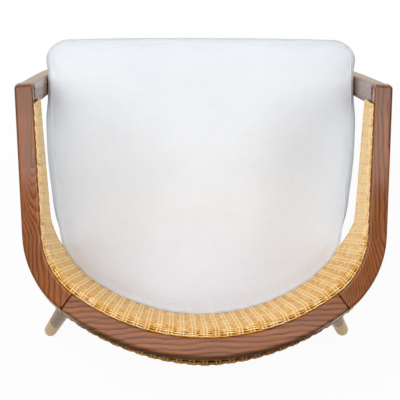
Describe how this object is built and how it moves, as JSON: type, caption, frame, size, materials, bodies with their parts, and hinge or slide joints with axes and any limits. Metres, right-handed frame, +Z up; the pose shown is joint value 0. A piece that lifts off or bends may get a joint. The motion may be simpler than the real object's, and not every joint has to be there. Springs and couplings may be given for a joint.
{
  "type": "cane back dining chair",
  "caption": "Dining armchair: a horseshoe wood rail rising to the back carries a double woven cane shell over a D-shaped cushion, on raked, splayed legs with metal ferrules.",
  "frame": {"origin": "centre of the chair's bounding box in plan, on the floor", "axes": "+Z up, -Y towards the front, +X towards the sitter's left"},
  "size_m": [0.6236, 0.5578, 0.7736],
  "materials": {
    "walnut_stain": "walnut-stained ash, satin lacquer, open grain",
    "frame_wood": "plain hardwood, unstained",
    "brass": "satin brushed",
    "glide_plastic": "matte black nylon",
    "zinc_steel": "zinc plated",
    "cane": "natural peeled rattan cane, woven, satin skin",
    "rattan_pole": "bent rattan pole, smooth",
    "plywood": "birch plywood, sanded",
    "cushion_cloth": "white woven cotton, boxed with top and bottom seams"
  },
  "bodies": {
    "root": {"arm_rail_left": "walnut_stain", "arm_rail_right": "walnut_stain", "back_rail": "walnut_stain", "board_screw_back_left": "zinc_steel", "board_screw_back_right": "zinc_steel", "board_screw_front_left": "zinc_steel", "board_screw_front_right": "zinc_steel", "board_screw_side_left": "zinc_steel", "board_screw_side_right": "zinc_steel", "cane_inner": "cane", "cane_outer": "cane", "corner_block_left": "frame_wood", "corner_block_right": "frame_wood", "ferrule_front_left": "brass", "ferrule_front_right": "brass", "ferrule_rear_left": "brass", "ferrule_rear_right": "brass", "frame_dowel_left": "frame_wood", "frame_dowel_right": "frame_wood", "front_leg_left": "walnut_stain", "front_leg_right": "walnut_stain", "glide_front_left": "glide_plastic", "glide_front_right": "glide_plastic", "glide_rear_left": "glide_plastic", "glide_rear_right": "glide_plastic", "leg_bolt_front_left_1": "zinc_steel", "leg_bolt_front_left_2": "zinc_steel", "leg_bolt_front_right_1": "zinc_steel", "leg_bolt_front_right_2": "zinc_steel", "leg_bolt_rear_left_1": "zinc_steel", "leg_bolt_rear_left_2": "zinc_steel", "leg_bolt_rear_right_1": "zinc_steel", "leg_bolt_rear_right_2": "zinc_steel", "rear_leg_left": "walnut_stain", "rear_leg_right": "walnut_stain", "seam_dowel_left_1": "frame_wood", "seam_dowel_left_2": "frame_wood", "seam_dowel_right_1": "frame_wood", "seam_dowel_right_2": "frame_wood", "seat_board": "plywood", "seat_cushion": "cushion_cloth", "seat_rail_back": "frame_wood", "seat_rail_front": "frame_wood", "seat_rail_left": "frame_wood", "seat_rail_right": "frame_wood", "shell_rim_back": "rattan_pole", "shell_rim_left": "rattan_pole", "shell_rim_right": "rattan_pole", "shell_stile_left": "rattan_pole", "shell_stile_right": "rattan_pole", "shell_upright_arm_left": "rattan_pole", "shell_upright_arm_right": "rattan_pole", "shell_upright_back_left": "rattan_pole", "shell_upright_back_middle": "rattan_pole", "shell_upright_back_right": "rattan_pole"}
  },
  "joints": []
}
